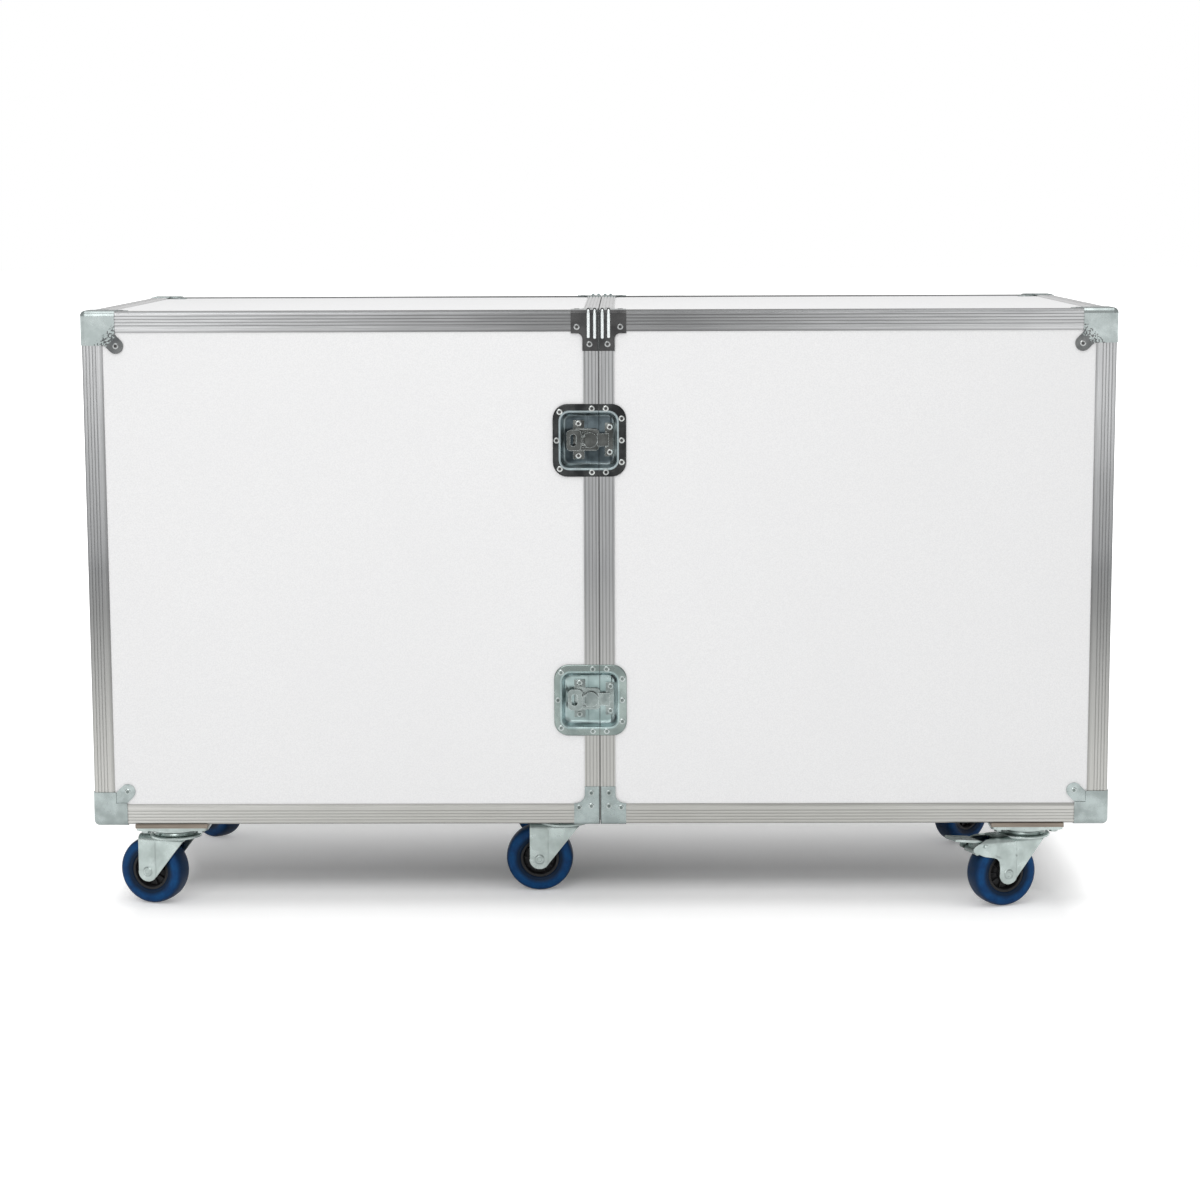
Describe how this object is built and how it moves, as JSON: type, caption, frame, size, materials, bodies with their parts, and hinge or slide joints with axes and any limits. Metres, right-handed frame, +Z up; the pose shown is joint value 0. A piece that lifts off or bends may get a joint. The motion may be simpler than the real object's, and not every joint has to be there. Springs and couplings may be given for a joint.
{
  "type": "drum case",
  "caption": "Split drum case in white laminate with aluminium edges, corner caps, butterfly latches and blue castors",
  "frame": {"origin": "centre of the whole box on plan, at floor level", "axes": "+X along the case to the braked end, +Y to the hinged back, +Z up"},
  "size_m": [1.4776, 0.6688, 0.8766],
  "materials": {
    "laminate": "white laminate, fine texture",
    "aluminium": "anodised extrusion, satin",
    "zinc": "bright zinc plate",
    "foam": "open cell foam, grey",
    "plywood": "brown sealed plywood",
    "hub_plastic": "black moulding",
    "blue_rubber": "blue elastic tyre"
  },
  "bodies": {
    "left_half": {"latch_dishes": "zinc", "left_back_panel": "laminate", "left_base_panel": "laminate", "left_castor_packers": "plywood", "left_castor_plates": "zinc", "left_closing_frame": "aluminium", "left_corner_caps": "zinc", "left_edge_extrusions": "aluminium", "left_end_panel": "laminate", "left_foam_lining": "foam", "left_front_panel": "laminate", "left_handle_dish": "zinc", "left_hinge_leaves": "zinc", "left_rivets_and_bolts": "zinc", "left_split_braces": "zinc", "left_top_panel": "laminate"},
    "right_half": {"latch_keepers": "zinc", "right_back_panel": "laminate", "right_base_panel": "laminate", "right_castor_packers": "plywood", "right_castor_plates": "zinc", "right_closing_frame": "aluminium", "right_corner_caps": "zinc", "right_edge_extrusions": "aluminium", "right_end_panel": "laminate", "right_foam_lining": "foam", "right_front_panel": "laminate", "right_handle_dish": "zinc", "right_hinge_leaves": "zinc", "right_rivets_and_bolts": "zinc", "right_split_braces": "zinc", "right_top_panel": "laminate"},
    "left_back_castor": {"left_back_castor_fork": "zinc"},
    "left_back_middle_castor": {"left_back_middle_castor_fork": "zinc"},
    "left_back_middle_wheel": {"left_back_middle_wheel_hub": "hub_plastic", "left_back_middle_wheel_tyre": "blue_rubber"},
    "left_back_wheel": {"left_back_wheel_hub": "hub_plastic", "left_back_wheel_tyre": "blue_rubber"},
    "left_front_castor": {"left_front_castor_fork": "zinc"},
    "left_front_wheel": {"left_front_wheel_hub": "hub_plastic", "left_front_wheel_tyre": "blue_rubber"},
    "left_handle_bail": {"left_handle_bail": "zinc"},
    "left_middle_castor": {"left_middle_castor_fork": "zinc"},
    "left_middle_wheel": {"left_middle_wheel_hub": "hub_plastic", "left_middle_wheel_tyre": "blue_rubber"},
    "lower_latch_cam": {"lower_latch_cam": "zinc"},
    "lower_latch_hook": {"lower_latch_hook": "zinc"},
    "lower_latch_wing": {"lower_latch_wing": "zinc"},
    "right_back_brake": {"right_back_brake_pedal": "zinc"},
    "right_back_castor": {"right_back_castor_fork": "zinc"},
    "right_back_wheel": {"right_back_wheel_hub": "hub_plastic", "right_back_wheel_tyre": "blue_rubber"},
    "right_front_brake": {"right_front_brake_pedal": "zinc"},
    "right_front_castor": {"right_front_castor_fork": "zinc"},
    "right_front_wheel": {"right_front_wheel_hub": "hub_plastic", "right_front_wheel_tyre": "blue_rubber"},
    "right_handle_bail": {"right_handle_bail": "zinc"},
    "upper_latch_cam": {"upper_latch_cam": "zinc"},
    "upper_latch_hook": {"upper_latch_hook": "zinc"},
    "upper_latch_wing": {"upper_latch_wing": "zinc"}
  },
  "joints": [
    {"name": "door_hinge", "type": "hinge", "parent": "left_half", "child": "right_half", "pos_m": [0, 0.32937, 0.5005], "axis": [0, 0, 1], "range_deg": [0, 180]},
    {"name": "left_front_swivel", "type": "hinge", "parent": "left_half", "child": "left_front_castor", "pos_m": [-0.626, -0.27513, 0.1122], "axis": [0, 0, 1], "continuous": true},
    {"name": "left_front_wheel_spin", "type": "hinge", "parent": "left_front_castor", "child": "left_front_wheel", "pos_m": [-0.66004, -0.26341, 0.05], "axis": [-0.3256, -0.9455, 0], "continuous": true},
    {"name": "left_middle_swivel", "type": "hinge", "parent": "left_half", "child": "left_middle_castor", "pos_m": [-0.056, -0.18863, 0.1122], "axis": [0, 0, 1], "continuous": true},
    {"name": "left_middle_wheel_spin", "type": "hinge", "parent": "left_middle_castor", "child": "left_middle_wheel", "pos_m": [-0.092, -0.18863, 0.05], "axis": [0, -1, 0], "continuous": true},
    {"name": "left_back_swivel", "type": "hinge", "parent": "left_half", "child": "left_back_castor", "pos_m": [-0.605, 0.14637, 0.1122], "axis": [0, 0, 1], "continuous": true},
    {"name": "left_back_wheel_spin", "type": "hinge", "parent": "left_back_castor", "child": "left_back_wheel", "pos_m": [-0.63175, 0.17045, 0.05], "axis": [-0.6691, -0.7431, 0], "continuous": true},
    {"name": "left_back_middle_swivel", "type": "hinge", "parent": "left_half", "child": "left_back_middle_castor", "pos_m": [-0.056, 0.14637, 0.1122], "axis": [0, 0, 1], "continuous": true},
    {"name": "left_back_middle_wheel_spin", "type": "hinge", "parent": "left_back_middle_castor", "child": "left_back_middle_wheel", "pos_m": [-0.092, 0.14637, 0.05], "axis": [0, -1, 0], "continuous": true},
    {"name": "right_front_swivel", "type": "hinge", "parent": "right_half", "child": "right_front_castor", "pos_m": [0.622, -0.27513, 0.1122], "axis": [0, 0, 1], "continuous": true},
    {"name": "right_front_wheel_spin", "type": "hinge", "parent": "right_front_castor", "child": "right_front_wheel", "pos_m": [0.58839, -0.28803, 0.05], "axis": [0.3584, -0.9336, 0], "continuous": true},
    {"name": "right_front_brake_press", "type": "hinge", "parent": "right_front_castor", "child": "right_front_brake", "pos_m": [0.55292, -0.30165, 0.094], "axis": [0.3584, -0.9336, 0], "range_deg": [0, 20]},
    {"name": "right_back_swivel", "type": "hinge", "parent": "right_half", "child": "right_back_castor", "pos_m": [0.605, 0.14637, 0.1122], "axis": [0, 0, 1], "continuous": true},
    {"name": "right_back_wheel_spin", "type": "hinge", "parent": "right_back_castor", "child": "right_back_wheel", "pos_m": [0.57825, 0.12228, 0.05], "axis": [0.6691, -0.7431, 0], "continuous": true},
    {"name": "right_back_brake_press", "type": "hinge", "parent": "right_back_castor", "child": "right_back_brake", "pos_m": [0.55001, 0.09685, 0.094], "axis": [0.6691, -0.7431, 0], "range_deg": [0, 20]},
    {"name": "upper_latch_turn", "type": "hinge", "parent": "left_half", "child": "upper_latch_cam", "pos_m": [-0.013, -0.31763, 0.6878], "axis": [0, 1, 0], "range_deg": [0, 180]},
    {"name": "upper_wing_fold", "type": "hinge", "parent": "upper_latch_cam", "child": "upper_latch_wing", "pos_m": [-0.022, -0.31593, 0.6878], "axis": [0, 0, 1], "range_deg": [0, 90]},
    {"name": "upper_hook_slide", "type": "slide", "parent": "left_half", "child": "upper_latch_hook", "axis": [0.9487, -0.3162, 0], "range_m": [0, 0.00949]},
    {"name": "lower_latch_turn", "type": "hinge", "parent": "left_half", "child": "lower_latch_cam", "pos_m": [-0.013, -0.31763, 0.311], "axis": [0, 1, 0], "range_deg": [0, 180]},
    {"name": "lower_wing_fold", "type": "hinge", "parent": "lower_latch_cam", "child": "lower_latch_wing", "pos_m": [-0.022, -0.31593, 0.311], "axis": [0, 0, 1], "range_deg": [0, 90]},
    {"name": "lower_hook_slide", "type": "slide", "parent": "left_half", "child": "lower_latch_hook", "axis": [0.9487, -0.3162, 0], "range_m": [0, 0.00949]},
    {"name": "left_handle_lift", "type": "hinge", "parent": "left_half", "child": "left_handle_bail", "pos_m": [-0.7294, 0.00237, 0.561], "axis": [0, 1, 0], "range_deg": [0, 90], "stiffness_Nm_per_rad": 0.3},
    {"name": "right_handle_lift", "type": "hinge", "parent": "right_half", "child": "right_handle_bail", "pos_m": [0.7294, 0.00237, 0.561], "axis": [0, -1, 0], "range_deg": [0, 90], "stiffness_Nm_per_rad": 0.3}
  ],
  "couplings": [
    {"joint": "upper_hook_slide", "follows": "upper_latch_turn", "m_per_rad": 0.0030198},
    {"joint": "lower_hook_slide", "follows": "lower_latch_turn", "m_per_rad": 0.0030198}
  ]
}
